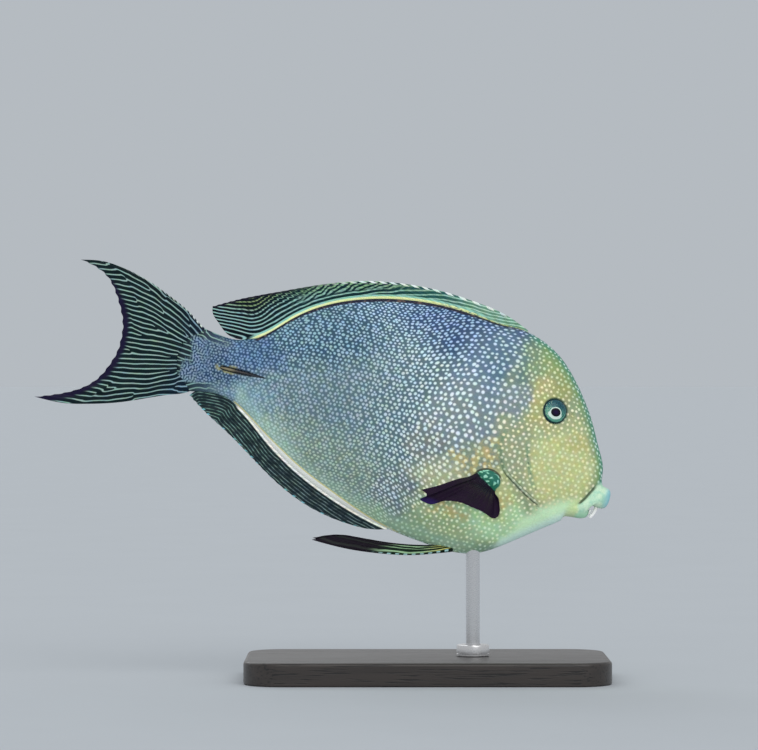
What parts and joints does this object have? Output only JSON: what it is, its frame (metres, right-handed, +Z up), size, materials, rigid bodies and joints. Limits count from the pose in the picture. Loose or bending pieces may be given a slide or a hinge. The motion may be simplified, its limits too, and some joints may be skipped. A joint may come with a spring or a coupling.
{
  "type": "bluespotted bristletooth surgeonfish on a display stand",
  "caption": "Life-size still model of a bluespotted bristletooth swimming with its head held low, carried by a rod on a flat display base.",
  "frame": {"origin": "centre of the bounding box, level with the underside of the stand's base", "axes": "+X toward the fish's snout, +Y toward its left side, +Z up; the fish is pitched nose-down by 13.5 degrees about Y"},
  "size_m": [0.2477, 0.1124, 0.1804],
  "materials": {
    "face_skin": "wet, scaly skin, yellow-green with cream dots",
    "flank_skin": "wet, scaly skin, slate blue-grey with pale dots",
    "lip_skin": "smooth, moist, pale mint",
    "striped_fin": "thin ribbed membrane, black-green with fine mint lines",
    "dark_fin": "thin ribbed membrane, purple-black",
    "eye": "clear, wet",
    "tooth": "satin",
    "tail_spine": "hard, horn-like, satin",
    "stand_wood": "black-stained, satin lacquer",
    "stand_steel": "fine brushed"
  },
  "bodies": {
    "root": {"head": "face_skin", "lips": "lip_skin", "bristle_teeth": "tooth", "eye_left": "eye", "eye_right": "eye", "torso": "flank_skin", "tail": "flank_skin", "tail_spine_left": "tail_spine", "tail_spine_right": "tail_spine", "dorsal_fin_spiny": "striped_fin", "dorsal_fin_soft": "striped_fin", "anal_fin": "striped_fin", "tail_fin_upper_lobe": "striped_fin", "tail_fin_lower_lobe": "striped_fin", "pectoral_fin_left": "dark_fin", "pectoral_fin_right": "dark_fin", "pelvic_fin_left": "striped_fin", "pelvic_fin_right": "striped_fin", "stand_base": "stand_wood", "stand_rod": "stand_steel", "stand_collar": "stand_steel"}
  },
  "joints": []
}
